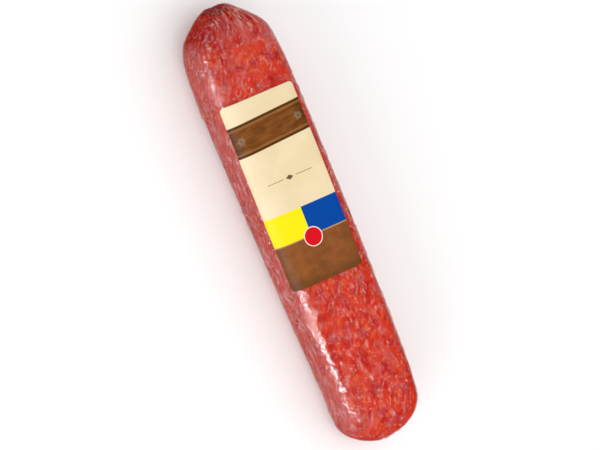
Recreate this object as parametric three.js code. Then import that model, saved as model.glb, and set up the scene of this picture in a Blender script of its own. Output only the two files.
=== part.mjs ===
// A pressed, four-sided cured sausage in a clear shrink bag, lying on its back with its label up.
// Millimetres. X runs across the sausage, Y along it towards the gathered end of the bag, and Z up
// from the face that it rests on. The origin is the middle of the underside.
import * as THREE from "three";

// The wrapped sausage
const LENGTH = 264;
const WIDTH = 51.8;
const HEIGHT = 42.4;
const EDGE_RADIUS = 10.9;
const NARROWING = 0.12; // the share that the section has lost at the tip of the plain end
const NARROWS_FROM = 31; // Y where that begins

// The plain end is a quarter ellipse, and leans a little to the left.
const PLAIN_END_DEPTH = 18.5;
const PLAIN_END_LEAN = 2;
const PLAIN_END_LEANS_FROM = 35; // distance from the tip where that begins

// The gathered end is a cone with soft shoulders. It is pulled towards the front face, and its
// rim tips that way too.
const GATHER_RISE = 6;
const GATHER_TIP = 0.27; // fall along Y for each millimetre towards the front
const GATHER_RISES_FROM = 26; // distance from the rim where that begins
const SHOULDER = [
  // [share of the half width, distance below the rim of the gather]
  [1, 43.5],
  [0.975, 30],
  [0.93, 21.2],
  [0.83, 14.3],
  [0.6, 7.5],
  [0.32, 1.3],
  [0.2, 0],
];

// The bag, thicker than real film so that it is a sound solid, and the air left round each piece
const FILM = 0.3;
const GAP = 0.3;
const LAYER_SQUEEZE = 1.2; // the sides need this much more than the ends, because the section is flatter

// The puckered mouth of the bag: a dimple with the film's neck standing in it, held by a clip
const DIMPLE_MOUTH = 4.3;
const DIMPLE_FLOOR = 3.7;
const DIMPLE_DEPTH = 3.3;
const DENT_MOUTH = 6.5; // the meat's own dent under the dimple is wider,
const DENT_LIP = 2; // and its edge lies this far below the rim
const NECK_RADIUS = 1.6;
const NECK_BORE = 0.6;
const NECK_TOP = 0.5; // below the rim
const CLIP_INNER = NECK_RADIUS + 0.4;
const CLIP_OUTER = 3.2;
const CLIP_HEIGHT = 1.8;
const CLIP_TOP = 1; // below the rim
const CLIP_CORNER = 0.35;

// The label on the upper face, wrapped a little over both long edges
const LABEL_WIDTH = 46;
const LABEL_LENGTH = 110.9;
const LABEL_THICKNESS = 0.25;
const LABEL_CORNER = 2.7;
const LABEL_CENTRE = { x: -3.8, y: 23.2 };

// Facets
const SIDES = 32; // round the section, a multiple of four
const BODY_RINGS = 8;
const PLAIN_END_RINGS = 12;
const SHOULDER_RINGS = 20;
const LABEL_COLUMNS = 28;
const LABEL_CORNER_ROWS = 5;
const LABEL_BODY_ROWS = 6;

// The tipped rim's back edge is the far end of the whole length.
const RIM_SHARE = SHOULDER[SHOULDER.length - 1][0];
const RIM_Y = LENGTH / 2 - (GATHER_TIP * RIM_SHARE * HEIGHT) / 2;
const PLAIN_TIP_Y = -LENGTH / 2;
const FLAT_HALF_WIDTH = WIDTH / 2 - EDGE_RADIUS;
const FLAT_HALF_HEIGHT = HEIGHT / 2 - EDGE_RADIUS;
const HALF_STEP = Math.PI / SIDES;

// How much of its full section the sausage has at a place along its length
function narrowing(y) {
  const along = THREE.MathUtils.clamp((NARROWS_FROM - y) / (NARROWS_FROM - PLAIN_TIP_Y), 0, 1);
  return 1 - NARROWING * along ** 2;
}

// The height of the section's middle. The underside stays on the ground as the section shrinks.
function middleHeight(y) {
  return (HEIGHT / 2) * narrowing(y);
}

// Where the two ends lean, given a place on the straight shape
function leanEnds(x, y, z) {
  const fromTip = y - PLAIN_TIP_Y;
  const left = 1 - THREE.MathUtils.smoothstep(fromTip, 0, PLAIN_END_LEANS_FROM);
  const front = THREE.MathUtils.smoothstep(y, RIM_Y - GATHER_RISES_FROM, RIM_Y);
  const fall = GATHER_TIP * (z - middleHeight(y));
  return [x - PLAIN_END_LEAN * left, y - fall * front, z + GATHER_RISE * front];
}

// Turns round sections about the Y axis into rounded rectangles of the same half width. The
// corners' facets reach a little further, so that the faces between them lie at full size.
function squareOff(geometry) {
  const place = geometry.getAttribute("position");
  const reach = EDGE_RADIUS / Math.cos(HALF_STEP);
  for (let i = 0; i < place.count; i++) {
    const x = place.getX(i);
    const y = place.getY(i);
    const z = place.getZ(i);
    const radius = Math.hypot(x, z);
    if (radius < 1e-6) {
      place.setXYZ(i, ...leanEnds(0, y, middleHeight(y)));
      continue;
    }
    const share = (radius / (WIDTH / 2)) * narrowing(y);
    const across = Math.sign(x) * FLAT_HALF_WIDTH + (reach * x) / radius;
    const upward = Math.sign(z) * FLAT_HALF_HEIGHT + (reach * z) / radius;
    place.setXYZ(i, ...leanEnds(share * across, y, middleHeight(y) + share * upward));
  }
  geometry.computeVertexNormals();
  return geometry;
}

// A profile turned about the Y axis and squared off. No vertex lies where two quarters meet.
function turned(profile) {
  return squareOff(new THREE.LatheGeometry(profile, SIDES, HALF_STEP));
}

// The skin's profile from the middle of the plain end to the rim of the gather, for a layer that
// lies the given depth inside the outermost surface
function skinProfile(depth) {
  const shrink = 1 - (depth * LAYER_SQUEEZE) / (WIDTH / 2);
  const points = [];
  for (let i = 0; i <= PLAIN_END_RINGS; i++) {
    const turn = (i / PLAIN_END_RINGS) * (Math.PI / 2);
    const radius = (WIDTH / 2) * Math.sin(turn);
    const y = PLAIN_TIP_Y + PLAIN_END_DEPTH * (1 - Math.cos(turn));
    points.push(new THREE.Vector2(radius * shrink, y + depth * Math.cos(turn)));
  }
  const bodyStart = PLAIN_TIP_Y + PLAIN_END_DEPTH;
  const bodyEnd = RIM_Y - SHOULDER[0][1];
  for (let i = 1; i < BODY_RINGS; i++) {
    const y = THREE.MathUtils.lerp(bodyStart, bodyEnd, i / BODY_RINGS);
    points.push(new THREE.Vector2((WIDTH / 2) * shrink, y));
  }
  const shoulder = new THREE.SplineCurve(
    SHOULDER.map(([share, below]) => new THREE.Vector2((share * WIDTH) / 2, RIM_Y - below)),
  );
  for (const point of shoulder.getPoints(SHOULDER_RINGS)) {
    points.push(new THREE.Vector2(point.x * shrink, point.y - depth));
  }
  return points;
}

// The sausage itself: it fills the bag, and is dented under the dimple at the gathered end.
function sausageMeat() {
  const inside = FILM + GAP;
  const profile = skinProfile(inside).filter((point) => point.y < 0 || point.x > DENT_MOUTH);
  profile.push(new THREE.Vector2(DIMPLE_MOUTH + 2 * inside, RIM_Y - DENT_LIP));
  profile.push(new THREE.Vector2(DIMPLE_FLOOR + inside, RIM_Y - DIMPLE_DEPTH - inside));
  profile.push(new THREE.Vector2(0, RIM_Y - DIMPLE_DEPTH - inside));
  const material = new THREE.MeshStandardMaterial({ color: 0xb8301c, roughness: 0.6, metalness: 0 });
  return named("sausage_meat", turned(profile), material);
}

// The clear shrink bag: its outside from the plain end up to the neck, then its inside back again.
// The neck's bore opens the inside to the air, as the folded mouth of a real bag does.
function shrinkBag() {
  const floorY = RIM_Y - DIMPLE_DEPTH;
  const neckTopY = RIM_Y - NECK_TOP;
  const mouth = [
    [DIMPLE_MOUTH, RIM_Y - 0.9],
    [DIMPLE_FLOOR, floorY],
    [NECK_RADIUS, floorY],
    [NECK_RADIUS, neckTopY],
    [NECK_BORE, neckTopY],
    [NECK_BORE, floorY - FILM],
    [DIMPLE_FLOOR + FILM, floorY - FILM],
    [DIMPLE_MOUTH + FILM, RIM_Y - 1],
  ].map(([radius, y]) => new THREE.Vector2(radius, y));
  const profile = [...skinProfile(0), ...mouth, ...skinProfile(FILM).reverse()];
  const material = new THREE.MeshStandardMaterial({
    color: 0xf3dcdc,
    roughness: 0.15,
    metalness: 0,
    transparent: true,
    opacity: 0.25,
  });
  return named("shrink_bag", turned(profile), material);
}

// The crimped aluminium clip: a ring round the bag's neck, oblong like the sausage's section
function bagClip() {
  const top = RIM_Y - CLIP_TOP;
  const bottom = top - CLIP_HEIGHT;
  const profile = [
    [CLIP_OUTER - CLIP_CORNER, bottom],
    [CLIP_OUTER, bottom + CLIP_CORNER],
    [CLIP_OUTER, top - CLIP_CORNER],
    [CLIP_OUTER - CLIP_CORNER, top],
    [CLIP_INNER + CLIP_CORNER, top],
    [CLIP_INNER, top - CLIP_CORNER],
    [CLIP_INNER, bottom + CLIP_CORNER],
    [CLIP_INNER + CLIP_CORNER, bottom],
    [CLIP_OUTER - CLIP_CORNER, bottom],
  ].map(([radius, y]) => new THREE.Vector2(radius, y));
  const material = new THREE.MeshStandardMaterial({ color: 0xb9bcc0, roughness: 0.35, metalness: 1 });
  return named("bag_clip", turned(profile), material);
}

// A place on the upper face: across is measured along the skin from the middle of the face, and
// height is the distance out of the skin.
function onUpperFace(across, y, height) {
  const side = Math.sign(across);
  const bend = Math.max(0, Math.abs(across) - FLAT_HALF_WIDTH) / EDGE_RADIUS;
  const flat = Math.min(Math.abs(across), FLAT_HALF_WIDTH);
  const share = narrowing(y);
  const x = share * (flat + EDGE_RADIUS * Math.sin(bend)) + height * Math.sin(bend);
  const up = share * (FLAT_HALF_HEIGHT + EDGE_RADIUS * Math.cos(bend)) + height * Math.cos(bend);
  return [side * x, y, middleHeight(y) + up];
}

// The places of the label's cross rows along its length, as shares from -1 to 1, close together
// in its rounded corners
function labelRows() {
  const cornerEnd = 1 - (2 * LABEL_CORNER) / LABEL_LENGTH;
  const rows = [];
  for (let i = 0; i < LABEL_CORNER_ROWS; i++) {
    const turn = (i / LABEL_CORNER_ROWS) * (Math.PI / 2);
    rows.push(1 - (1 - cornerEnd) * (1 - Math.cos(turn)));
  }
  for (let i = 0; i <= LABEL_BODY_ROWS / 2; i++) {
    rows.push(cornerEnd * (1 - i / (LABEL_BODY_ROWS / 2)));
  }
  return [...rows.map((row) => -row), ...rows.slice(0, -1).reverse()];
}

// The label: a flat block in rows, narrowed at its rounded corners and wrapped over the upper face
function frontLabel() {
  const rows = labelRows();
  const geometry = new THREE.BoxGeometry(1, 1, rows.length - 1, LABEL_COLUMNS, 1, rows.length - 1);
  const place = geometry.getAttribute("position");
  for (let i = 0; i < place.count; i++) {
    const row = rows[Math.round((rows.length - 1) / 2 - place.getZ(i))];
    const fromEnd = ((1 - Math.abs(row)) * LABEL_LENGTH) / 2;
    const intoCorner = Math.max(0, LABEL_CORNER - fromEnd);
    const cut = LABEL_CORNER - Math.sqrt(LABEL_CORNER ** 2 - intoCorner ** 2);
    const across = LABEL_CENTRE.x + place.getX(i) * (LABEL_WIDTH - 2 * cut);
    const y = LABEL_CENTRE.y + (row * LABEL_LENGTH) / 2;
    const height = GAP + (place.getY(i) + 0.5) * LABEL_THICKNESS;
    place.setXYZ(i, ...onUpperFace(across, y, height));
  }
  geometry.computeVertexNormals();
  const material = new THREE.MeshStandardMaterial({ color: 0xeed9ad, roughness: 0.5, metalness: 0 });
  return named("front_label", geometry, material);
}

function named(name, geometry, material) {
  const mesh = new THREE.Mesh(geometry, material);
  mesh.name = name;
  return mesh;
}

const sausage = new THREE.Group();
sausage.add(sausageMeat(), shrinkBag(), bagClip(), frontLabel());

export default sausage;
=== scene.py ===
"""A pressed, four-sided cured sausage in a clear shrink bag, with a printed paper label."""

import math
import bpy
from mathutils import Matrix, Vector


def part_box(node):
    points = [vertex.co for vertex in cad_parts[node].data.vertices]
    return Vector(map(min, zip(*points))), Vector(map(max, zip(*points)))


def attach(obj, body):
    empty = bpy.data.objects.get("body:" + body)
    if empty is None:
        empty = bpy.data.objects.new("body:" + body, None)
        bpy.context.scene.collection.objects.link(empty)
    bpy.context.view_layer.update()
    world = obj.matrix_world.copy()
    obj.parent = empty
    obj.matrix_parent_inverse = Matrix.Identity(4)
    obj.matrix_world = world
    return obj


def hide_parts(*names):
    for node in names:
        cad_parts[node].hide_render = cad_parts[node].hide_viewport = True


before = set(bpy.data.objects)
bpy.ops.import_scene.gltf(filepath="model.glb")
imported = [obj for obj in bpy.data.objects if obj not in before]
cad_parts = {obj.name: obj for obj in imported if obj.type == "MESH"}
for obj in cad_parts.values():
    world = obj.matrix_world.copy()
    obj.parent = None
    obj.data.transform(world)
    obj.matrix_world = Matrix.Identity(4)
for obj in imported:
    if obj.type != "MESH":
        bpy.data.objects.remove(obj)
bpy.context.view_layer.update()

from types import SimpleNamespace

import bmesh
import bpy
import numpy as np
from bpy.props import FloatProperty, FloatVectorProperty, IntProperty, PointerProperty
from bpy.types import Operator, Panel, PropertyGroup
from mathutils import Matrix, Vector, kdtree

bl_info = {
    "name": "Pressed Sausage",
    "version": (1, 0, 0),
    "blender": (4, 5, 0),
    "location": "3D View > Sidebar > Sausage",
    "description": "Makes a pressed cured sausage in a clear shrink bag with a printed label",
    "category": "Object",
}

MM = 0.001
BAG_LOW, BAG_HIGH = np.array(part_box("shrink_bag"))
LABEL_LOW, LABEL_HIGH = np.array(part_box("front_label"))
CLIP_LOW, CLIP_HIGH = np.array(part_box("bag_clip"))
LABEL_MIDDLE = (LABEL_LOW[1] + LABEL_HIGH[1]) / 2
BODY = "root"

# The bag's gathered end, from its shoulders to the rim round its puckered mouth
SHOULDER = (
    # (share of the half width, distance below the rim)
    (1.0, 43.5 * MM),
    (0.975, 30 * MM),
    (0.93, 21.2 * MM),
    (0.83, 14.3 * MM),
    (0.6, 7.5 * MM),
    (0.32, 1.3 * MM),
    (0.2, 0.0),
)
# The mouth itself: its folds close over the clip, down into a small pucker
MOUTH = (
    # (radius, distance below the rim)
    (4.1 * MM, 0.0),
    (3.2 * MM, 0.1 * MM),
    (2.4 * MM, 0.4 * MM),
    (1.6 * MM, 0.9 * MM),
    (0.8 * MM, 1.5 * MM),
)
# The dent in the end of the meat that leaves room for the clip
MEAT_DENT = (
    # (radius, distance below the rim)
    (5.6 * MM, 2.2 * MM),
    (4.4 * MM, 4.2 * MM),
    (2.0 * MM, 4.4 * MM),
)
CAGE_STEP = 3 * MM
CORNER_STEPS = 6
PLAIN_END_LEANS_FROM = 35 * MM  # distance from the tip where its lean begins
GATHER_RISES_FROM = 26 * MM  # distance from the rim where its rise begins
GATHER_MIDDLE = 27 * MM  # height of the puckered mouth above the underside
CLIP_SINK = 0.8 * MM  # how far the film's folds press the clip in
CLIP_WALL = 1.2 * MM
CLIP_TEETH = 9  # dents that the closing tool left round the clip
PLEAT_WIDTHS = (0.32 * MM, 0.6 * MM)
PLEAT_REACHES = (16 * MM, 46 * MM)
# The pleats' crests carry a painted highlight, strongest on this side
PLEAT_GLINT_SIDE = math.radians(40)  # the side of the gather where the pleats are whitest
PLEAT_BITE = 0.35 * MM  # how deep the valleys between the pleats press into the meat


def tint(red, green, blue):
    """A paint colour given as screen numbers from 0 to 255, in the linear units that shaders use."""
    shares = [channel / 255 for channel in (red, green, blue)]
    return tuple(c / 12.92 if c <= 0.04045 else ((c + 0.055) / 1.055) ** 2.4 for c in shares)


def metres(name, description, default):
    return FloatProperty(name=name, description=description, default=default, unit="LENGTH")


def share_value(name, description, default):
    return FloatProperty(name=name, description=description, default=default, subtype="FACTOR")


def angle_value(name, description, degrees):
    return FloatProperty(
        name=name, description=description, default=math.radians(degrees), subtype="ANGLE"
    )


def paint_value(name, description, default):
    return FloatVectorProperty(
        name=name, description=description, default=default, subtype="COLOR", size=3, min=0, max=1
    )


class LoafSizes(PropertyGroup):
    """The pressed sausage and its bag"""

    width: metres("Width", "Across the sausage", BAG_HIGH[0] - BAG_LOW[0])
    height: metres("Height", "From the underside to the front face", BAG_HIGH[2] - BAG_LOW[2])
    edge_radius: metres("Edge radius", "Rounding of the four long edges", 10.9 * MM)
    narrowing: share_value("Narrowing", "Share of the section lost at the plain end", 0.12)
    narrows_from: metres("Narrows from", "Place along the length where that begins", 31 * MM)
    plain_end_depth: metres("Plain end", "Depth of the rounded plain end", 18.5 * MM)
    plain_end_lean: metres("Plain end lean", "Of that end to the left", 2 * MM)
    gather_rise: metres("Gather rise", "Of the gather towards the front face", 6 * MM)
    gather_tip: share_value("Gather tip", "Slope of the rim towards the front face", 0.27)
    meat_inset: metres("Meat inset", "How far the meat lies inside the bag", 0.45 * MM)
    lump_height: metres("Lump height", "Unevenness of the pressed faces", 0.5 * MM)
    lump_size: metres("Lump size", "Width of one swelling of the faces", 36 * MM)


class FilmSizes(PropertyGroup):
    """The crinkles and pleats of the shrunk film"""

    crinkles: IntProperty(name="Crinkles", description="Number of short folds", default=3400)
    crinkle_length: metres("Crinkle length", "Half the length of a usual fold", 2.6 * MM)
    crinkle_width: metres("Crinkle width", "Half the width of a usual fold", 0.5 * MM)
    crinkle_height: metres("Crinkle height", "Height of a usual fold", 0.24 * MM)
    pleats: IntProperty(name="Pleats", description="Number of pleats at the gather", default=42)
    pleat_height: metres("Pleat height", "Height of a pleat beside the gather", 0.8 * MM)
    seed: IntProperty(name="Seed", description="Which arrangement of folds is made", default=11)


class LabelSizes(PropertyGroup):
    """The printed label on the front face"""

    width: metres("Width", "Across the label, along the skin", 46 * MM)
    length: metres("Length", "Along the sausage", LABEL_HIGH[1] - LABEL_LOW[1])
    thickness: metres("Thickness", "Of the paper", 0.16 * MM)
    corner: metres("Corner radius", "Rounding of the corners", 2.7 * MM)
    centre_x: metres("Centre across", "Place of the middle, along the skin", -3.8 * MM)
    turn: angle_value("Turn", "How crooked the label is stuck on", -1.2)
    lift: metres("Lift", "Height above the film's skin", 0.3 * MM)


class SausageColours(PropertyGroup):
    """Colours of the pieces"""

    red: paint_value("Meat red", "The main colour of the meat", tint(212, 52, 26))
    crimson: paint_value("Meat crimson", "Its darker patches", tint(184, 32, 29))
    orange: paint_value("Meat orange", "Flecks of fat stained by the meat", tint(222, 90, 37))
    # Painted shade: the dark red painted where the film's folds and pleats leave valleys, and towards
    # the gathered end
    painted_shade_red: paint_value("Meat vein", "Dark lines between the grains", tint(158, 16, 20))
    # Partly the film's own milky cast, partly a painted reflection on the narrow sides
    haze_and_painted_reflection: paint_value("Film haze", "The milky cast of loose film", tint(224, 150, 152))
    # Partly the real whitening of creased film, partly a painted highlight on the crests of the folds
    stroke: paint_value("Film crease", "The whitened crest of a fold", tint(255, 184, 160))
    folded: paint_value("Folded film", "Its many layers in the gather", tint(150, 46, 46))
    cream: paint_value("Label ground", "Unprinted part of the label", tint(233, 211, 169))
    plank: paint_value("Plank", "Printed wood of the upper band", tint(136, 80, 34))
    plank_dark: paint_value("Plank edge", "Shaded edges of the band", tint(90, 50, 15))
    gold: paint_value("Gold line", "Thin lines along the band", tint(205, 146, 84))
    board: paint_value("Board", "Printed wood of the lower panel", tint(147, 86, 43))
    board_dark: paint_value("Board grain", "Dark grain of the lower panel", tint(110, 66, 30))
    yellow: paint_value("Yellow block", "Left block of the label", tint(253, 230, 20))
    blue: paint_value("Blue block", "Right block of the label", tint(0, 70, 158))
    seal: paint_value("Seal", "Round printed seal", tint(215, 16, 28))
    metal: paint_value("Clip", "Aluminium of the clip", tint(198, 200, 204))


class StageSizes(PropertyGroup):
    """Camera, floor and lights"""

    distance: metres("Camera distance", "From the sausage to the camera", 2.0)
    field: metres("Field width", "Width of the view at the sausage", 0.339)
    turn: angle_value("Turn", "Of the camera towards the left side", 18)
    lean: angle_value("Lean", "Of the camera towards the gathered end", 7)
    roll: angle_value("Roll", "Of the view about its axis", 22.75)
    aim_right: metres("Aim right", "From the middle of the sausage", -0.678 * MM)
    aim_up: metres("Aim up", "From the middle of the sausage", -1.074 * MM)
    floor: paint_value("Floor", "Colour of the floor", (0.98, 0.98, 0.98))
    daylight: FloatProperty(name="Daylight", description="Strength of the surroundings", default=0.65)


# ---- Shader maths


def maths(operation, swapped=False):
    """A method of a wire that adds one Math node."""

    def method(self, *others):
        values = (*others, self) if swapped else (self, *others)
        return self.paint.node("Math", dict(enumerate(values)), {"operation": operation})

    return method


class Wire:
    """A shader socket. Sums on wires add the Math nodes that work them out."""

    def __init__(self, paint, socket):
        self.paint = paint
        self.socket = socket

    __add__ = maths("ADD")
    __radd__ = maths("ADD", swapped=True)
    __sub__ = maths("SUBTRACT")
    __rsub__ = maths("SUBTRACT", swapped=True)
    __mul__ = maths("MULTIPLY")
    __truediv__ = maths("DIVIDE")
    __pow__ = maths("POWER")
    __abs__ = maths("ABSOLUTE")
    __lt__ = maths("LESS_THAN")
    __gt__ = maths("GREATER_THAN")
    least = maths("MINIMUM")
    most = maths("MAXIMUM")
    cosine = maths("COSINE")
    angle_over = maths("ARCTAN2")

    def ramp(self, low, high, start=0.0, end=1.0):
        """Runs smoothly from start to end as the value goes from low to high."""
        return self.paint.node(
            "MapRange",
            {"Value": self, "From Min": low, "From Max": high, "To Min": start, "To Max": end},
            {"interpolation_type": "SMOOTHSTEP"},
        )


class Paint:
    """A material, with the one method that adds its nodes."""

    def __init__(self, name):
        self.material = bpy.data.materials.new(name)
        self.material.use_nodes = True
        self.tree = self.material.node_tree
        self.tree.nodes.clear()

    def node(self, kind, values=None, settings=None, output=0):
        """Adds a node, applies its settings, sets or links its sockets and gives its output."""
        made = self.tree.nodes.new("ShaderNode" + kind)
        for key, value in (settings or {}).items():
            setattr(made, key, value)
        for key, value in (values or {}).items():
            if isinstance(value, Wire):
                self.tree.links.new(value.socket, made.inputs[key])
            else:
                is_colour = made.inputs[key].type == "RGBA" and len(value) == 3
                made.inputs[key].default_value = (*value, 1) if is_colour else value
        return Wire(self, made.outputs[output]) if len(made.outputs) else None

    def mix(self, share, below, above):
        """A colour that goes from below to above as share goes from 0 to 1."""
        settings = {"data_type": "RGBA", "clamp_factor": True}
        return self.node("Mix", {0: share, 6: below, 7: above}, settings, 2)

    def place(self, scale=(1, 1, 1), shift=(0, 0, 0)):
        """The piece's own coordinates in millimetres, then scaled."""
        own = self.node("TexCoord", output=3)
        return self.moved(own, Scale=[factor / MM for factor in scale], Location=shift)

    def noise(self, vector, size, detail=2.0, rough=0.5, distortion=0.0):
        values = {
            "Vector": vector, "Scale": 1 / size, "Detail": detail, "Roughness": rough,
            "Distortion": distortion,
        }
        return self.node("TexNoise", values)

    def warp(self, vector, size, amount):
        """The vector pushed about by noise: size of its waves and how far they push."""
        values = {"Vector": vector, "Scale": 1 / size, "Detail": 2.0}
        waves = self.node("TexNoise", values, None, 1)
        push = self.node("VectorMath", {0: waves, 1: (0.5,) * 3}, {"operation": "SUBTRACT"})
        values = {0: push, 1: (amount,) * 3, 2: vector}
        return self.node("VectorMath", values, {"operation": "MULTIPLY_ADD"})

    def cells(self, vector, size):
        return self.node("TexVoronoi", {"Vector": vector, "Scale": 1 / size})

    def parts(self, vector):
        """The X, Y and Z of a vector"""
        first = self.node("SeparateXYZ", {0: vector})
        return [Wire(self, socket) for socket in first.socket.node.outputs]

    def joined(self, x, y, z=0.0):
        return self.node("CombineXYZ", {0: x, 1: y, 2: z})

    def moved(self, vector, **values):
        """The vector scaled, turned and shifted. Names are those of the node's sockets."""
        return self.node("Mapping", {0: vector, **values})

    def blend(self, share, below, above):
        """A shader that goes from below to above as share goes from 0 to 1."""
        return self.node("MixShader", {0: share, 1: below, 2: above})

    def attribute(self, name):
        return self.node("Attribute", None, {"attribute_name": name}, 2)

    def bump(self, height, distance, strength):
        values = {"Height": height, "Distance": distance, "Strength": strength}
        return self.node("Bump", values)

    def solid(self, base, roughness, **more):
        """Shows a surface that light doesn't pass. Names of sockets have _ for each space."""
        values = {"Base Color": base, "Roughness": roughness}
        values.update({name.replace("_", " "): value for name, value in more.items()})
        return self.show(self.node("BsdfPrincipled", values))

    def show(self, shader):
        self.node("OutputMaterial", {"Surface": shader})
        return self.material


# ---- Modelling


def clear_selection():
    bpy.ops.object.select_all(action="DESELECT")


def pick_level(piece, y):
    """In edit mode, selects the vertices at the given Y, and nothing else."""
    bpy.ops.mesh.select_all(action="DESELECT")
    mesh = bmesh.from_edit_mesh(piece.data)
    for vertex in mesh.verts:
        vertex.select = abs(vertex.co.y - y) < 1e-6
    mesh.select_flush(True)
    bmesh.update_edit_mesh(piece.data)


def apply_modifier(piece, kind, **settings):
    bpy.context.view_layer.objects.active = piece
    modifier = piece.modifiers.new(kind, kind)
    for key, value in settings.items():
        setattr(modifier, key, value)
    bpy.ops.object.modifier_apply(modifier=modifier.name)


def select_only(piece):
    clear_selection()
    piece.select_set(True)
    bpy.context.view_layer.objects.active = piece


def settle(piece):
    """Puts the piece's place and turn into its mesh."""
    select_only(piece)
    bpy.ops.object.transform_apply(location=True, rotation=True, scale=True)


def finish_piece(piece, material, slot, *nodes):
    select_only(piece)
    piece.data.materials.append(material)
    bpy.ops.object.shade_smooth()
    piece.select_set(False)
    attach(piece, BODY)
    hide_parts(*nodes)


def curve_through(points, steps):
    """A smooth run of points that passes through all of those given."""
    points = np.array(points, dtype=float)
    ends = np.vstack([2 * points[0] - points[1], points, 2 * points[-1] - points[-2]])
    run = []
    for i in range(len(points) - 1):
        a, b, c, d = ends[i : i + 4]
        t = np.linspace(0, 1, steps, endpoint=False)[:, None]
        bends = (2 * a - 5 * b + 4 * c - d) * t**2 + (3 * b - a - 3 * c + d) * t**3
        run.append(0.5 * (2 * b + (c - a) * t + bends))
    return np.vstack([*run, points[-1]])


def smooth_step(share):
    share = np.clip(share, 0, 1)
    return share * share * (3 - 2 * share)


def evenly(run, step):
    """The run of points again, with equal steps along it."""
    lengths = np.concatenate([[0], np.cumsum(np.linalg.norm(np.diff(run, axis=0), axis=1))])
    count = max(2, round(lengths[-1] / step) + 1)
    at = np.linspace(0, lengths[-1], count)
    return np.column_stack([np.interp(at, lengths, run[:, i]) for i in range(run.shape[1])])


class Skin:
    """The outermost surface of the bag: a rounded rectangle drawn along a profile."""

    def __init__(self, sizes):
        self.sizes = sizes
        self.width = sizes.width
        self.height = sizes.height
        self.radius = sizes.edge_radius
        self.tip = BAG_LOW[1]
        self.rim = BAG_HIGH[1] - sizes.gather_tip * SHOULDER[-1][0] * self.height / 2
        self.flat_across = self.width / 2 - self.radius
        self.flat_up = self.height / 2 - self.radius
        self.profile = evenly(self.outline(), 0.25 * MM)

    def outline(self):
        """(half width, Y) from the tip of the plain end to the rim, before the narrowing"""
        half = self.width / 2
        turns = np.linspace(0, math.pi / 2, 40)
        depths = self.sizes.plain_end_depth * (1 - np.cos(turns))
        end = np.column_stack([half * np.sin(turns), self.tip + depths])
        shoulder = curve_through([(share * half, self.rim - below) for share, below in SHOULDER], 10)
        return np.vstack([end, shoulder])

    def share(self, y):
        start = self.sizes.narrows_from
        return 1 - self.sizes.narrowing * np.clip((start - y) / (start - self.tip), 0, 1) ** 2

    def leaned(self, places):
        """Places on the straight shape, leaned as the two ends lean"""
        x, y, z = places.T
        left = self.sizes.plain_end_lean * (1 - smooth_step((y - self.tip) / PLAIN_END_LEANS_FROM))
        front = smooth_step((y - self.rim) / GATHER_RISES_FROM + 1)
        fall = self.sizes.gather_tip * (z - self.height / 2 * self.share(y))
        return np.column_stack([x - left, y - fall * front, z + self.sizes.gather_rise * front])

    def at(self, around, run):
        """A place and its outward normal. around goes once round from 0 to 1, run from the tip to
        the rim from 0 to 1. The middle of the front face is at around 0."""
        steps = np.linspace(0, 1, len(self.profile))
        spots = np.clip(run + np.array([-0.5, 0.5]) * steps[1], 0, 1)
        here, ahead = np.column_stack([np.interp(spots, steps, line) for line in self.profile.T])
        radius, y = (here + ahead) / 2
        slope = (ahead - here) / max(1e-9, np.linalg.norm(ahead - here))
        corner, outward = self.section(around)
        scale = radius / (self.width / 2) * self.share(y)
        place = np.array([corner[0] * scale, y, self.height / 2 * self.share(y) + corner[1] * scale])
        normal = np.array([outward[0] * slope[1], -slope[0], outward[1] * slope[1]])
        return self.leaned(place[None])[0], normal / np.linalg.norm(normal)

    def section(self, around):
        """A place on the full-size section and its outward direction, both as (across, up)"""
        quarter = math.pi / 2 * self.radius
        corner, share = divmod((around % 1) * 4, 1)
        walk = share * (self.flat_across + self.flat_up + quarter)
        # a straight leg from the middle of a face to its corner, the corner, and on to the middle
        # of the next face
        half, other = self.flat_across, self.flat_up
        if corner % 2:
            half, other = other, half
        bend = min(max(0.0, walk - half) / self.radius, math.pi / 2)
        rest = max(0.0, walk - half - quarter)
        ahead = min(walk, half) + self.radius * math.sin(bend)
        outward = other + self.radius * math.cos(bend) - rest
        turn = corner * math.pi / 2
        out, way = (math.sin(turn), math.cos(turn)), (math.cos(turn), -math.sin(turn))
        place = [way[i] * ahead + out[i] * outward for i in (0, 1)]
        return place, (math.sin(turn + bend), math.cos(turn + bend))

    def on_front(self, across, y, lift):
        """A place on the front face, with across measured along the skin from its middle"""
        side = np.sign(across)
        bend = np.maximum(0, np.abs(across) - self.flat_across) / self.radius
        flat = np.minimum(np.abs(across), self.flat_across)
        share = self.share(y)
        x = share * (flat + self.radius * np.sin(bend)) + lift * np.sin(bend)
        up = share * (self.flat_up + self.radius * np.cos(bend)) + lift * np.cos(bend)
        return np.array([side * x, y, self.height / 2 * share + up])


def section_ring(name, skin):
    """A full-size rounded rectangle of edges that stands at Y 0, left open in edit mode."""
    clear_selection()
    bpy.ops.mesh.primitive_plane_add(
        size=1, location=(0, 0, skin.height / 2), rotation=(math.pi / 2, 0, 0)
    )
    ring = bpy.context.object
    ring.name = ring.data.name = name
    ring.scale = (skin.width, skin.height, 1)
    settle(ring)
    bpy.ops.object.mode_set(mode="EDIT")
    bpy.ops.mesh.select_all(action="SELECT")
    bpy.ops.mesh.bevel(affect="VERTICES", offset=skin.radius, segments=CORNER_STEPS, profile=0.5)
    bpy.ops.mesh.delete(type="ONLY_FACE")
    for axis, half in ((0, skin.flat_across), (2, skin.flat_up)):
        subdivide_long_edges(ring, axis, 2 * half)
    return ring


def subdivide_long_edges(ring, axis, length):
    """Cuts the two edges that run along the axis, and have the given length, into short steps."""
    bpy.ops.mesh.select_all(action="DESELECT")
    mesh = bmesh.from_edit_mesh(ring.data)
    for edge in mesh.edges:
        run = edge.verts[1].co - edge.verts[0].co
        if abs(run[axis]) > 0.95 * length:
            edge.select_set(True)
    bmesh.update_edit_mesh(ring.data)
    bpy.ops.mesh.subdivide(number_cuts=round(length / CAGE_STEP) - 1)


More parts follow.
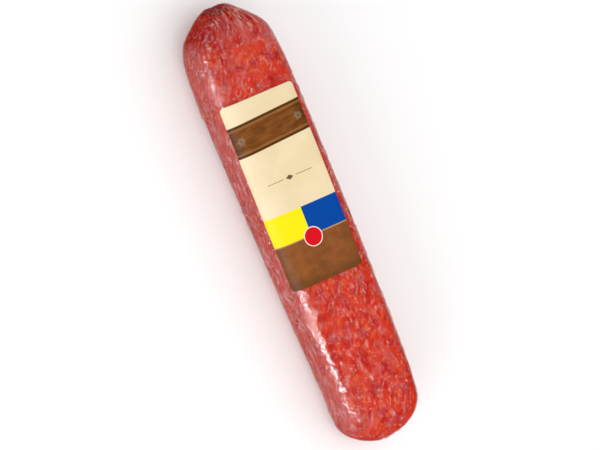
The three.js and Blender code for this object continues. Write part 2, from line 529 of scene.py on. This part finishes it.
def loaf(name, skin, inset, mouth):
    """The closed loaf: a ring of the section extruded along the profile, ring after ring."""
    half = skin.width / 2
    outline = evenly(skin.outline(), CAGE_STEP)[1:]
    squeeze = 1 - 1.2 * inset / half
    stations = [(radius * squeeze, np.clip(y, skin.tip + inset, skin.rim - inset))
                for radius, y in outline]
    stations += [(radius, skin.rim - below - inset) for radius, below in mouth]
    ring = section_ring(name, skin)
    bpy.ops.mesh.select_all(action="SELECT")
    scale, y, middle = 1.0, 0.0, skin.height / 2
    for index, (radius, next_y) in enumerate(stations):
        share = float(skin.share(next_y))
        next_scale, next_middle = radius / half * share, skin.height / 2 * share
        step = (0, next_y - y, next_middle - middle)
        if index:
            bpy.ops.mesh.extrude_edges_move(TRANSFORM_OT_translate={"value": step})
        else:
            bpy.ops.transform.translate(value=step)
        growth = next_scale / scale
        bpy.ops.transform.resize(value=(growth, 1, growth), center_override=(0, next_y, next_middle))
        scale, y, middle = next_scale, next_y, next_middle
    close_end(ring, stations[-1][1])
    pick_level(ring, stations[0][1])
    close_end(ring, skin.tip + inset)
    bpy.ops.mesh.select_all(action="SELECT")
    bpy.ops.mesh.remove_doubles(threshold=1e-6)
    bpy.ops.mesh.normals_make_consistent(inside=False)
    bpy.ops.object.mode_set(mode="OBJECT")
    apply_modifier(ring, "SUBSURF", levels=2, render_levels=2)
    return ring


def close_end(ring, y):
    """Draws the selected ring of edges in to one point at the given Y."""
    bpy.ops.mesh.extrude_edges_move(TRANSFORM_OT_translate={"value": (0, 0, 0)})
    bpy.ops.mesh.merge(type="CENTER")
    mesh = bmesh.from_edit_mesh(ring.data)
    for vertex in mesh.verts:
        if vertex.select:
            vertex.co.y = y
    bmesh.update_edit_mesh(ring.data)


def add_lumps(piece, sizes):
    """The uneven swelling that pressing and drying leave on the faces."""
    for index, part in enumerate((1, 3)):
        pattern = bpy.data.textures.new(f"{piece.name} lumps {index}", "CLOUDS")
        pattern.noise_scale = sizes.lump_size / part
        pattern.noise_depth = 1
        apply_modifier(
            piece, "DISPLACE", texture=pattern, texture_coords="LOCAL",
            strength=sizes.lump_height / part, mid_level=0.55,
        )


def mesh_arrays(piece):
    count = len(piece.data.vertices)
    places = np.empty(count * 3)
    normals = np.empty(count * 3)
    piece.data.vertices.foreach_get("co", places)
    piece.data.vertices.foreach_get("normal", normals)
    return places.reshape(-1, 3), normals.reshape(-1, 3)


def put_vertices(piece, places):
    piece.data.vertices.foreach_set("co", places.ravel())
    piece.data.update()


def move_out(piece, heights):
    """Moves every vertex along its normal by its own height, but not through the floor."""
    places, normals = mesh_arrays(piece)
    moved = places + normals * heights[:, None]
    moved[:, 2] = np.maximum(moved[:, 2], 0)
    put_vertices(piece, moved)


def keep_attribute(piece, name, values):
    layer = piece.data.attributes.new(name, "FLOAT", "POINT")
    layer.data.foreach_set("value", values.astype(np.float32))


class Folds:
    """The short crinkles of the shrunk film, scattered over the skin, and the pleats at the gather."""

    def __init__(self, skin, film, label):
        self.skin = skin
        self.film = film
        self.label = label
        self.chance = np.random.default_rng(film.seed)

    def crinkle(self):
        chance = self.chance
        place, normal = self.skin.at(chance.random(), chance.random() ** 0.97)
        along = np.array([0, 1.0, 0])
        along -= normal * np.dot(along, normal)
        along /= max(1e-6, np.linalg.norm(along))
        turn = chance.normal(0, 0.55 if place[1] < 0 else 0.9)
        across = np.cross(normal, along)
        way = along * math.cos(turn) + across * math.sin(turn)
        size = chance.lognormal(0, 0.35)
        return SimpleNamespace(
            place=place,
            way=way,
            across=np.cross(normal, way),
            length=self.film.crinkle_length * size,
            width=self.film.crinkle_width * chance.uniform(0.75, 1.35),
            height=self.film.crinkle_height * size * chance.uniform(0.4, 1.3),
            bend=chance.normal(0, 0.09) / MM,
            dip=chance.choice((-1, 1)),
        )

    def under_label(self, places, margin):
        """How much of each place is pressed flat by the label: 1 under it, 0 a little way off."""
        beyond_y = np.abs(places[:, 1] - LABEL_MIDDLE) - self.label.length / 2
        beyond_x = np.maximum(LABEL_LOW[0] - places[:, 0], places[:, 0] - LABEL_HIGH[0])
        front = (places[:, 2] > LABEL_LOW[2]).astype(float)
        return front * np.clip(1 - np.maximum(beyond_x, beyond_y) / margin, 0, 1)

    def crinkle_heights(self, places):
        """The height of the crinkles at each place, and how sharply the film is creased there."""
        tree = kdtree.KDTree(len(places))
        for index, place in enumerate(places):
            tree.insert(place, index)
        tree.balance()
        heights = np.zeros(len(places))
        creases = np.zeros(len(places))
        for _ in range(self.film.crinkles):
            fold = self.crinkle()
            reach = fold.length + 2 * fold.width
            near = [index for _, index, _ in tree.find_range(fold.place, reach)]
            if not near:
                continue
            offset = places[near] - fold.place
            run = offset @ fold.way
            aside = offset @ fold.across - fold.bend * run**2
            fade = np.clip(1 - (run / fold.length) ** 2, 0, 1)
            crest = np.exp(-((aside / fold.width) ** 2)) * fade
            beside = aside / fold.width - fold.dip * 1.7
            valley = np.exp(-(beside**2)) * fade
            heights[near] += fold.height * (crest - 0.55 * valley)
            strength = min(1.0, fold.height / self.film.crinkle_height)
            creases[near] = np.maximum(creases[near], crest * strength)
        return heights, creases

    def mouth(self, places):
        """1 in the middle of the gather, where the film lies in many layers, and 0 away from it"""
        radius = np.hypot(places[:, 0], places[:, 2] - self.skin.height / 2)
        near = places[:, 1] > self.skin.rim - 5 * MM
        return (1 - smooth_step((radius / MM - 5.5) / 3)) * near

    def pleats(self, places):
        """Of the pleats that run out from the gather, on the shape before its ends lean: the height
            at each place, and how much of a crest and of a valley it lies in. The crest shares carry a
            painted highlight, strongest on the side at PLEAT_GLINT_SIDE"""
        chance = np.random.default_rng(self.film.seed + 1)
        x = places[:, 0]
        z = (places[:, 2] - self.skin.height / 2) * self.skin.width / self.skin.height
        radius = np.hypot(x, z)
        turn = np.arctan2(z, x)
        below = self.skin.rim - places[:, 1]
        away = np.hypot(radius, below)
        heights, crests, valleys = np.zeros((3, len(places)))
        count = self.film.pleats
        for index in range(count):
            middle = 2 * math.pi * (index + chance.uniform(-0.38, 0.38)) / count
            width = chance.uniform(*PLEAT_WIDTHS)
            height = self.film.pleat_height * chance.uniform(0.35, 1.15)
            # Painted highlight: a pleat's crest is whitened more the nearer it lies to
            # PLEAT_GLINT_SIDE
            right = 0.5 + 0.5 * math.cos(middle - PLEAT_GLINT_SIDE)
            glint = right * chance.uniform(0.3, 1.2)
            reach = chance.uniform(*PLEAT_REACHES) * (0.8 + 0.3 * right)
            sway = chance.normal(0, 0.07) * away / (14 * MM) + 0.03 * np.sin(away / (4 * MM) + index)
            aside = (turn - middle - sway + math.pi) % (2 * math.pi) - math.pi
            across = aside * np.maximum(radius, 1.2 * MM)
            spread = width * (0.55 + away / (26 * MM))
            fade = np.clip(1 - away / reach, 0, 1) ** 0.7 * (below < 60 * MM)
            inner = smooth_step(radius / (6 * MM) - 0.3)
            crest = np.exp(-((across / spread) ** 2)) * fade
            valley = np.exp(-((across / spread - 1.9) ** 2)) * fade
            share = height / self.film.pleat_height
            heights += height * crest * inner
            crests = np.maximum(crests, crest * glint * smooth_step(radius / (5 * MM) - 0.8))
            valleys = np.maximum(valleys, valley * min(1.0, share))
        return heights, crests, valleys


# ---- Materials


def stroke_lines(paint, size, stretch, slant, shift):
    """Short wavy strokes, along the level lines of a noise. Gives the crest of each fold, and the
    valley beside it, as 1 on the line and 0 off it."""
    turned = paint.moved(paint.place(), Rotation=(0, 0, math.radians(slant)))
    place = paint.moved(turned, Scale=(1, stretch, 1), Location=shift)
    field = paint.noise(paint.warp(place, size * 0.8, size * 0.45), size, 0.6)
    gate = paint.noise(place, size * 0.75, 0.0).ramp(0.46, 0.6)
    crest = abs(field - 0.5).ramp(0.004, 0.032, 1, 0) * gate
    valley = abs(field - 0.56).ramp(0.006, 0.036, 1, 0) * gate
    return crest, valley


def gather_lines(paint):
    """The long thin folds that run out from the gather: their crests, with a painted highlight
    that is strongest on the right, and their valleys
    """
    x, y, z = paint.parts(paint.place(shift=(0, 0, -GATHER_MIDDLE / MM)))
    radius = (x**2 + z**2) ** 0.5
    below = BAG_HIGH[1] / MM - y
    turned = paint.joined(x / radius * 7, z / radius * 7, radius.most(below) * 0.08)
    field = paint.noise(turned, 1.0, 0.6)
    near = below.ramp(3, 34, 1, 0) * radius.ramp(4, 8)
    # Painted highlight: the crests are whiter on the right side of the gather
    right = (x * 0.9 + z * 0.44) / radius * 0.5 + 0.5
    crest = abs(field - 0.5).ramp(0.004, 0.034, 1, 0) * near * right**3
    valley = abs(field - 0.56).ramp(0.01, 0.06, 1, 0) * near
    return crest, valley


def fold_lines(paint):
    """The crests and the valleys of the strokes: two sizes on the wide faces, and one that runs
    across the narrow sides"""
    coarse, coarse_valley = stroke_lines(paint, 2.6, 0.42, 16, (0, 0, 0))
    fine, fine_valley = stroke_lines(paint, 1.8, 0.7, 8, (17, 5, 9))
    cross, cross_valley = stroke_lines(paint, 2.2, 1.5, 0, (3, 31, 14))
    sides = abs(paint.parts(paint.place())[0]).ramp(20, 24)
    return (
        coarse.most(fine * 0.8).most(cross * sides),
        coarse_valley.most(fine_valley * 0.8).most(cross_valley * sides * 1.5),
    )


def meat_material(colours):
    paint = Paint("cured meat")
    place = paint.place((1, 0.75, 1))
    wavy = paint.warp(place, 5, 3)
    patches = paint.noise(wavy, 6.5, 3, 0.6).ramp(0.36, 0.58)
    base = paint.mix(patches, colours.crimson, colours.red)
    blot = paint.noise(paint.warp(place, 3, 2), 3.6, 2, 0.55).ramp(0.55, 0.68)
    base = paint.mix(blot * 0.6, base, colours.orange)
    fat = paint.cells(paint.warp(place, 2.2, 1.6), 3.8).ramp(0.2, 0.42, 1, 0)
    rare = paint.noise(place, 11, 1).ramp(0.46, 0.6)
    base = paint.mix(fat * rare * 0.5, base, colours.orange)
    # Painted shade: the meat is darkened under the valleys of the film's folds, the pleats and the
    # gather's furrows
    _, valleys = fold_lines(paint)
    _, furrows = gather_lines(paint)
    # Painted shade: the meat darkens towards the gathered end
    gather = paint.parts(paint.place())[1].ramp(98, 124) * 0.4
    painted_shade = valleys * 0.55 + paint.attribute("valley") * 0.5 + furrows * 0.6 + gather
    base = paint.mix(painted_shade.least(0.85), base, colours.painted_shade_red)
    relief = paint.noise(place, 1.4, 3, 0.6) + paint.noise(place, 4, 2)
    bump = paint.bump(relief, 0.35 * MM, 0.7)
    return paint.solid(base, 0.7, Normal=bump, Specular_IOR_Level=0.0)


def film_material(colours):
    paint = Paint("crinkled clear film")
    place = paint.place((1, 0.7, 1))
    crease = paint.attribute("crease")
    pleat = paint.attribute("pleat")
    crests, valleys = fold_lines(paint)
    ripple = paint.noise(paint.warp(place, 2, 1.2), 1.6, 3, 0.6)
    beads = paint.noise(paint.place((0.8, 1.4, 0.8)), 1.5, 1, 0.5)
    slits = abs(paint.noise(paint.warp(paint.place((0.35, 1, 0.35)), 3, 1.5), 2.2, 1) - 0.5)
    x, y, _ = paint.parts(paint.place())
    taut = abs(x).ramp(13, 18)
    height = crests * 0.7 - valleys * 0.4 + ripple * 0.3 + beads * 0.7 + crease * 0.3
    height = height * (1 - taut * 0.5) + slits.ramp(0, 0.07) * (0.4 + taut * 0.5)
    bump = paint.bump(height, 0.4 * MM, 0.9)
    sides = abs(x).ramp(19, 24)
    cloudy = paint.noise(place, 5.5, 3, 0.65).ramp(0.5, 0.66) * y.ramp(100, 118, 1, 0.2)
    broken = paint.noise(place, 1.3, 1).ramp(0.36, 0.6)
    drawn, _ = gather_lines(paint)
    # The whitened crests are partly real crease whitening and partly painted highlight, with painted
    # glints on the pleats and the gather's crests
    lines = (crests * 0.65 + crease**2 * 0.1) * (0.3 + broken * 0.7)
    lines = lines + pleat**1.5 * 0.4 + drawn * 0.8
    # The film is made paler on the right of the gathered end
    pale_right_shoulder = y.ramp(92, 112) * x.ramp(12, 21)
    # Painted reflection: the narrow sides get extra milky white in place of the floor's reflection,
    # which the film doesn't mirror
    milk_and_painted_light = lines + cloudy * (0.14 + sides * 0.3) + sides * 0.21 + pale_right_shoulder * 0.3
    clear = paint.node("BsdfTransparent", {"Color": (1, 1, 1)})
    pale = paint.mix((lines * 2).least(1), colours.haze_and_painted_reflection, colours.stroke)
    milky = paint.node("BsdfDiffuse", {"Color": pale})
    shine = paint.node("BsdfGlossy", {"Color": (1, 1, 1), "Roughness": 0.08, "Normal": bump})
    layered = paint.node("BsdfDiffuse", {"Color": colours.folded})
    under = paint.blend(paint.attribute("mouth") * 0.95, clear, layered)
    body = paint.blend(milk_and_painted_light.least(0.75), under, milky)
    mirror = paint.node("Fresnel", {"IOR": 1.5, "Normal": bump})
    return paint.show(paint.blend((mirror * 0.8).least(0.28), body, shine))


def metal_material(colours):
    paint = Paint("crimped aluminium")
    scuff = paint.noise(paint.place(), 0.5, 3, 0.7)
    base = paint.mix(scuff.ramp(0.35, 0.65), colours.metal * 0.75, colours.metal)
    bump = paint.bump(scuff, 0.06 * MM, 0.6)
    return paint.solid(base, scuff.ramp(0.3, 0.7, 0.25, 0.45), Metallic=1.0, Normal=bump)


def wood_print(paint, across, down, stretch, size, depth, light, dark):
    """Printed wood: streaks, drawn out by the two stretch shares, under soft blotches"""
    drawn = paint.joined(across * stretch[0], down * stretch[1])
    streaks = paint.noise(drawn, size, 4, 0.65, 0.6)
    blotch = paint.noise(paint.joined(across * 0.6, down), 5.0, 2)
    return paint.mix((streaks * 0.6 + blotch * 0.5).ramp(0.38, 0.78) * depth, light, dark)


class Print:
    """The places on the label in millimetres, across from its left edge and down from its top"""

    def __init__(self, paint, sizes):
        self.paint = paint
        self.width = sizes.width / MM
        self.length = sizes.length / MM
        across, up, _ = paint.parts(paint.node("UVMap", None, {"uv_map": "label"}))
        self.across = across * self.width
        self.down = (1 - up) * self.length

    def between(self, value, low, high, edge=0.12):
        """1 where the value lies from low to high and 0 outside, with soft edges"""
        return value.ramp(low - edge, low + edge) * value.ramp(high - edge, high + edge, 1, 0)


def plank_band(card, base, colours):
    """The slanted plank band across the upper part, with gold lines and two faint rosettes"""
    paint, across = card.paint, card.across
    deep = 18.3
    slant = card.down + across * 0.0487 - 12.2
    dark = colours.plank_dark
    plank = wood_print(paint, across, slant, (0.13, 0.9), 1.5, 1.0, colours.plank, dark)
    plank = paint.mix(card.between(slant, 1.9, deep - 1.9, 0.5), dark, plank)
    side = abs(across - card.width / 2).ramp(card.width * 0.36, card.width * 0.52)
    plank = paint.mix(side * 0.6, plank, dark * 0.6)
    for line in (1.7, 2.4, deep - 2.4, deep - 1.7):
        drawn = card.between(slant, line - 0.12, line + 0.12)
        plank = paint.mix(drawn * 0.7, plank, colours.gold)
    for centre in (5.6, card.width - 4.3):
        x, y = across - centre, slant - 9.3
        reach = (x**2 + y**2) ** 0.5
        wave = (y.angle_over(x) * 6).cosine()
        flower = (reach - wave * 0.35).ramp(1.4, 2.8, 1, 0) * reach.ramp(0.2, 0.9)
        plank = paint.mix(flower * 0.3, plank, tint(165, 160, 130))
    return paint.mix(card.between(slant, 0, deep), base, plank)


def rule_and_lozenge(card, base, colours):
    """A thin rule with a lozenge, on the bare ground"""
    middle, height = card.width / 2 + 0.8, 49.6
    beside = abs(card.across - middle)
    lozenge = (beside * 0.6 + abs(card.down - height)).ramp(1.35, 1.55, 1, 0)
    rule = card.between(card.down, height - 0.16, height + 0.16)
    rule = rule * card.between(card.across, 10, card.width - 8, 0.4) * beside.ramp(3.6, 4.0)
    return card.paint.mix(rule.most(lozenge) * 0.9, base, colours.plank_dark)


def colour_blocks(card, base, colours):
    """The two colour blocks, the wood panel below them and the round seal over all three"""
    paint, across, down = card.paint, card.across, card.down
    split, top, bottom = 23.3, 67.4, 84.2
    blocks = card.between(down, top, bottom + 3)
    base = paint.mix(blocks * (across < split), base, colours.yellow)
    base = paint.mix(blocks * (across > split), base, colours.blue)
    dark = colours.board_dark
    board = wood_print(paint, across, down, (0.6, 0.35), 4.5, 0.75, colours.board, dark)
    side = abs(across - card.width / 2).ramp(card.width * 0.3, card.width * 0.52)
    board = paint.mix(side * 0.45, board, dark)
    board = paint.mix(down.ramp(card.length - 9, card.length) * 0.55, board, dark * 0.6)
    ledge = card.between(down, bottom, bottom + 0.7, 0.15)
    board = paint.mix(ledge * 0.8, board, tint(196, 160, 104))
    base = paint.mix(down.ramp(bottom - 0.1, bottom + 0.1), base, board)
    from_seal = ((across - split - 0.8) ** 2 + (down - 85.5) ** 2) ** 0.5
    base = paint.mix(from_seal.ramp(5.5, 5.8, 1, 0), base, tint(246, 236, 214))
    return paint.mix(from_seal.ramp(5.0, 5.3, 1, 0), base, colours.seal)


def label_material(colours, sizes):
    paint = Paint("printed paper")
    card = Print(paint, sizes)
    # Random tone, and a painted sheen that makes the left part of the label lighter
    shade = paint.noise(paint.place(), 16, 2).ramp(0.3, 0.7) * 0.4
    shade = shade + card.across.ramp(0, card.width * 0.5) * 0.6
    base = paint.mix(shade, tint(244, 226, 190), colours.cream)
    base = plank_band(card, base, colours)
    base = rule_and_lozenge(card, base, colours)
    base = colour_blocks(card, base, colours)
    fibre = paint.noise(paint.place(), 0.7, 3, 0.6)
    bump = paint.bump(fibre, 0.04 * MM, 0.5)
    rough = fibre.ramp(0.3, 0.7, 0.42, 0.55)
    return paint.solid(base, rough, Normal=bump, Specular_IOR_Level=0.03)


def floor_material(colour):
    paint = Paint("pale floor")
    base = paint.mix(paint.noise(paint.place(), 40, 2), colour * 0.985, colour)
    return paint.solid(base, 0.9, Specular_IOR_Level=0.0)


# ---- Operators


class SAUSAGE_OT_meat(Operator):
    """Makes the pressed meat that fills the bag"""

    bl_idname = "sausage.meat"
    bl_label = "Meat"

    def execute(self, context):
        sizes = context.scene.loaf_sizes
        skin = Skin(sizes)
        meat = loaf("meat", skin, sizes.meat_inset, MEAT_DENT)
        straight, _ = mesh_arrays(meat)
        folds = Folds(skin, context.scene.film_sizes, context.scene.label_sizes)
        _, _, valleys = folds.pleats(straight)
        # The valley shares are kept for the painted shade in the meat's colour
        keep_attribute(meat, "valley", valleys)
        put_vertices(meat, skin.leaned(straight))
        add_lumps(meat, sizes)
        move_out(meat, -valleys * PLEAT_BITE)
        finish_piece(meat, meat_material(context.scene.sausage_colours), "meat", "sausage_meat")
        return {"FINISHED"}


class SAUSAGE_OT_bag(Operator):
    """Makes the crinkled film bag, pleated into its gathered end"""

    bl_idname = "sausage.bag"
    bl_label = "Bag"

    def execute(self, context):
        scene = context.scene
        skin = Skin(scene.loaf_sizes)
        bag = loaf("film_bag", skin, 0.0, MOUTH)
        folds = Folds(skin, scene.film_sizes, scene.label_sizes)
        straight, _ = mesh_arrays(bag)
        pleats, crests, valleys = folds.pleats(straight)
        put_vertices(bag, skin.leaned(straight))
        add_lumps(bag, scene.loaf_sizes)
        places, _ = mesh_arrays(bag)
        crinkles, creases = folds.crinkle_heights(places)
        free = 1 - folds.under_label(places, 1.2 * MM)
        smooth = 1 - np.clip(pleats / (0.1 * MM), 0, 1)
        move_out(bag, crinkles * free * smooth + pleats - valleys * PLEAT_BITE)
        keep_attribute(bag, "crease", creases * free)
        # The crest shares carry the pleats' painted highlight into the film's colour
        keep_attribute(bag, "pleat", crests)
        keep_attribute(bag, "mouth", folds.mouth(straight))
        finish_piece(bag, film_material(scene.sausage_colours), "clear_film", "shrink_bag")
        bag.visible_shadow = False  # its shadow would darken the meat under the clear film
        return {"FINISHED"}


class SAUSAGE_OT_clip(Operator):
    """Makes the crimped clip round the bag's neck"""

    bl_idname = "sausage.clip"
    bl_label = "Clip"

    def execute(self, context):
        middle = Vector((CLIP_LOW + CLIP_HIGH) / 2)
        size = Vector(CLIP_HIGH - CLIP_LOW)
        clear_selection()
        start = middle + Vector(((size.x - CLIP_WALL) / 2, 0, 0))
        bpy.ops.mesh.primitive_plane_add(size=1, location=start)
        clip = context.object
        clip.name = clip.data.name = "clip"
        clip.scale = (CLIP_WALL, size.y, 1)
        settle(clip)
        bpy.ops.object.mode_set(mode="EDIT")
        bpy.ops.mesh.select_all(action="SELECT")
        bpy.ops.mesh.bevel(affect="VERTICES", offset=0.35 * MM, segments=3, profile=0.5)
        bpy.ops.mesh.select_all(action="SELECT")
        bpy.ops.mesh.spin(steps=40, angle=math.radians(352), center=middle, axis=(0, 1, 0))
        bpy.ops.mesh.select_all(action="SELECT")
        bpy.ops.mesh.remove_doubles(threshold=1e-6)
        bpy.ops.mesh.normals_make_consistent(inside=False)
        bpy.ops.transform.resize(value=(1, 1, size.z / size.x), center_override=middle)
        tilt = math.atan(context.scene.loaf_sizes.gather_tip)
        bpy.ops.transform.rotate(value=-tilt, orient_axis="X", center_override=middle)
        bpy.ops.transform.translate(value=(0, -CLIP_SINK, 0))
        bpy.ops.object.mode_set(mode="OBJECT")
        apply_modifier(clip, "SUBSURF", levels=1, render_levels=1)
        self.crimp(clip, middle)
        finish_piece(clip, metal_material(context.scene.sausage_colours), "clip_metal", "bag_clip")
        return {"FINISHED"}

    def crimp(self, clip, middle):
        """Presses the shallow dents of the closing tool into the outside of the ring."""
        places, _ = mesh_arrays(clip)
        x, _, z = (places - middle).T
        outer = np.hypot(z, x) > 2.4 * MM
        move_out(clip, -0.09 * MM * (0.5 + 0.5 * np.cos(np.arctan2(z, x) * CLIP_TEETH)) * outer)


class SAUSAGE_OT_label(Operator):
    """Makes the paper label wrapped over the front face"""

    bl_idname = "sausage.label"
    bl_label = "Label"

    def execute(self, context):
        scene = context.scene
        sizes = scene.label_sizes
        skin = Skin(scene.loaf_sizes)
        clear_selection()
        bpy.ops.mesh.primitive_grid_add(
            x_subdivisions=64, y_subdivisions=140, size=1,
            location=(sizes.centre_x, LABEL_MIDDLE, 0),
        )
        label = context.object
        label.name = label.data.name = "label"
        label.scale = (sizes.width, sizes.length, 1)
        settle(label)
        bpy.ops.object.mode_set(mode="EDIT")
        self.round_corners(sizes)
        bpy.ops.object.mode_set(mode="OBJECT")
        places, _ = mesh_arrays(label)
        x, y = places[:, 0] - sizes.centre_x, places[:, 1] - LABEL_MIDDLE
        layer = label.data.uv_layers[0]
        layer.name = "label"
        for loop in label.data.loops:
            index = loop.vertex_index
            layer.data[loop.index].uv = (x[index] / sizes.width + 0.5, y[index] / sizes.length + 0.5)
        cosine, sine = math.cos(sizes.turn), math.sin(sizes.turn)
        across = sizes.centre_x + x * cosine - y * sine
        wrapped = skin.on_front(across, LABEL_MIDDLE + x * sine + y * cosine, sizes.lift)
        put_vertices(label, wrapped.T)
        apply_modifier(label, "SOLIDIFY", thickness=sizes.thickness, offset=1.0)
        paper = label_material(scene.sausage_colours, sizes)
        finish_piece(label, paper, "label_paper", "front_label")
        select_only(label)
        bpy.ops.object.shade_smooth_by_angle(angle=math.radians(35))
        label.select_set(False)
        return {"FINISHED"}

    def round_corners(self, sizes):
        """Cuts each corner back to its radius with a fan of straight cuts."""
        for side, end in ((-1, -1), (-1, 1), (1, -1), (1, 1)):
            x = sizes.centre_x + side * (sizes.width / 2 - sizes.corner)
            centre = Vector((x, LABEL_MIDDLE + end * (sizes.length / 2 - sizes.corner), 0))
            for step in range(1, 8):
                turn = math.pi / 2 * step / 8
                away = Vector((side * math.cos(turn), end * math.sin(turn), 0))
                edge = centre + away * sizes.corner
                bpy.ops.mesh.select_all(action="SELECT")
                bpy.ops.mesh.bisect(plane_co=edge, plane_no=away, clear_outer=True)


class SAUSAGE_OT_stage(Operator):
    """Makes the floor, the lights and the camera"""

    bl_idname = "sausage.stage"
    bl_label = "Stage"

    def execute(self, context):
        stage = context.scene.stage_sizes
        self.floor(stage)
        self.surroundings(context.scene, stage)
        middle = Vector((BAG_LOW + BAG_HIGH) / 2)
        fills = (
            # name, direction, distance, width, height, strength
            ("overhead fill", (0.25, -0.3, 0.92), 1.6, 2.0, 2.4, 15),
            ("left fill", (-0.85, -0.35, 0.4), 1.5, 0.9, 1.2, 7),
        )
        shines = (
            ("left edge shine", (-0.93, -0.2, 0.32), 1.1, 0.5, 0.5, 42.0),
            ("left upper shine", (-0.9, 0.0, 0.44), 1.2, 0.1, 0.5, 2.6),
            ("end shine", (0.14, 0.6, 0.79), 1.3, 0.16, 0.12, 9.0),
            ("plain end shine", (0.0, -0.5, 0.86), 1.4, 0.4, 0.14, 2.6),
        )
        # The fills light the pieces but aren't mirrored by them. The shines are only mirrored.
        for light in fills:
            self.softbox(middle, *light).visible_glossy = False
        for light in shines:
            self.softbox(middle, *light).visible_diffuse = False
        self.camera(context.scene, stage, middle)
        context.scene.view_settings.view_transform = "Standard"
        return {"FINISHED"}

    def floor(self, stage):
        clear_selection()
        bpy.ops.mesh.primitive_plane_add(size=8, location=(0, 0, -0.1 * MM))
        floor = bpy.context.object
        settle(floor)
        floor.name = floor.data.name = "floor"
        floor.data.materials.append(floor_material(stage.floor))
        floor.select_set(False)
        floor.visible_glossy = False  # the film doesn't mirror it

    def surroundings(self, scene, stage):
        world = bpy.data.worlds.new("pale room")
        world.use_nodes = True
        ground = world.node_tree.nodes["Background"]
        ground.inputs["Color"].default_value = (1, 1, 1, 1)
        ground.inputs["Strength"].default_value = stage.daylight
        world.cycles_visibility.glossy = False
        scene.world = world

    def softbox(self, middle, name, direction, distance, width, height, power):
        """A rectangular light aimed at the sausage, with its height along the sausage."""
        away = Vector(direction).normalized()
        bpy.ops.object.light_add(type="AREA", location=middle + away * distance)
        box = bpy.context.object
        box.name = box.data.name = name
        box.data.shape = "RECTANGLE"
        box.data.size, box.data.size_y = width, height
        box.data.energy = power
        across = Vector((0, 1, 0)).cross(away).normalized()
        turned = Matrix((across, away.cross(across), away)).transposed()
        box.rotation_euler = turned.to_euler()
        return box

    def camera(self, scene, stage, middle):
        away = Vector((-math.sin(stage.turn), math.tan(stage.lean), math.cos(stage.turn)))
        away.normalize()
        along = Vector((0, 1, 0))
        up = (along - away * along.dot(away)).normalized()
        up = Matrix.Rotation(-stage.roll, 3, away) @ up
        right = up.cross(away)
        bpy.ops.object.camera_add()
        camera = bpy.context.object
        camera.name = camera.data.name = "camera"
        camera.data.sensor_width = 36
        camera.data.lens = 36 * stage.distance / stage.field
        camera.data.clip_end = 20
        camera.rotation_euler = Matrix((right, up, away)).transposed().to_euler()
        aim = middle + right * stage.aim_right + up * stage.aim_up
        camera.location = aim + away * stage.distance
        scene.camera = camera


class SAUSAGE_PT_panel(Panel):
    """Lists the sizes, the colours and the operators"""

    bl_label = "Pressed Sausage"
    bl_idname = "SAUSAGE_PT_panel"
    bl_space_type = "VIEW_3D"
    bl_region_type = "UI"
    bl_category = "Sausage"

    def draw(self, context):
        for group in SETTINGS:
            box = self.layout.box()
            box.label(text=group.replace("_", " ").capitalize())
            settings = getattr(context.scene, group)
            for name in settings.bl_rna.properties.keys():
                if name not in ("rna_type", "name"):
                    box.prop(settings, name)
        for maker in MAKERS:
            self.layout.operator(maker.bl_idname)


SETTINGS = {
    "loaf_sizes": LoafSizes,
    "film_sizes": FilmSizes,
    "label_sizes": LabelSizes,
    "sausage_colours": SausageColours,
    "stage_sizes": StageSizes,
}
MAKERS = (SAUSAGE_OT_meat, SAUSAGE_OT_bag, SAUSAGE_OT_clip, SAUSAGE_OT_label, SAUSAGE_OT_stage)
KINDS = (*SETTINGS.values(), *MAKERS, SAUSAGE_PT_panel)


def register():
    for kind in KINDS:
        bpy.utils.register_class(kind)
    for name, kind in SETTINGS.items():
        setattr(bpy.types.Scene, name, PointerProperty(type=kind))


def unregister():
    for name in SETTINGS:
        delattr(bpy.types.Scene, name)
    for kind in reversed(KINDS):
        bpy.utils.unregister_class(kind)


def main():
    register()
    bpy.ops.sausage.meat()
    bpy.ops.sausage.bag()
    bpy.ops.sausage.clip()
    bpy.ops.sausage.label()
    bpy.ops.sausage.stage()


if __name__ == "__main__":
    main()
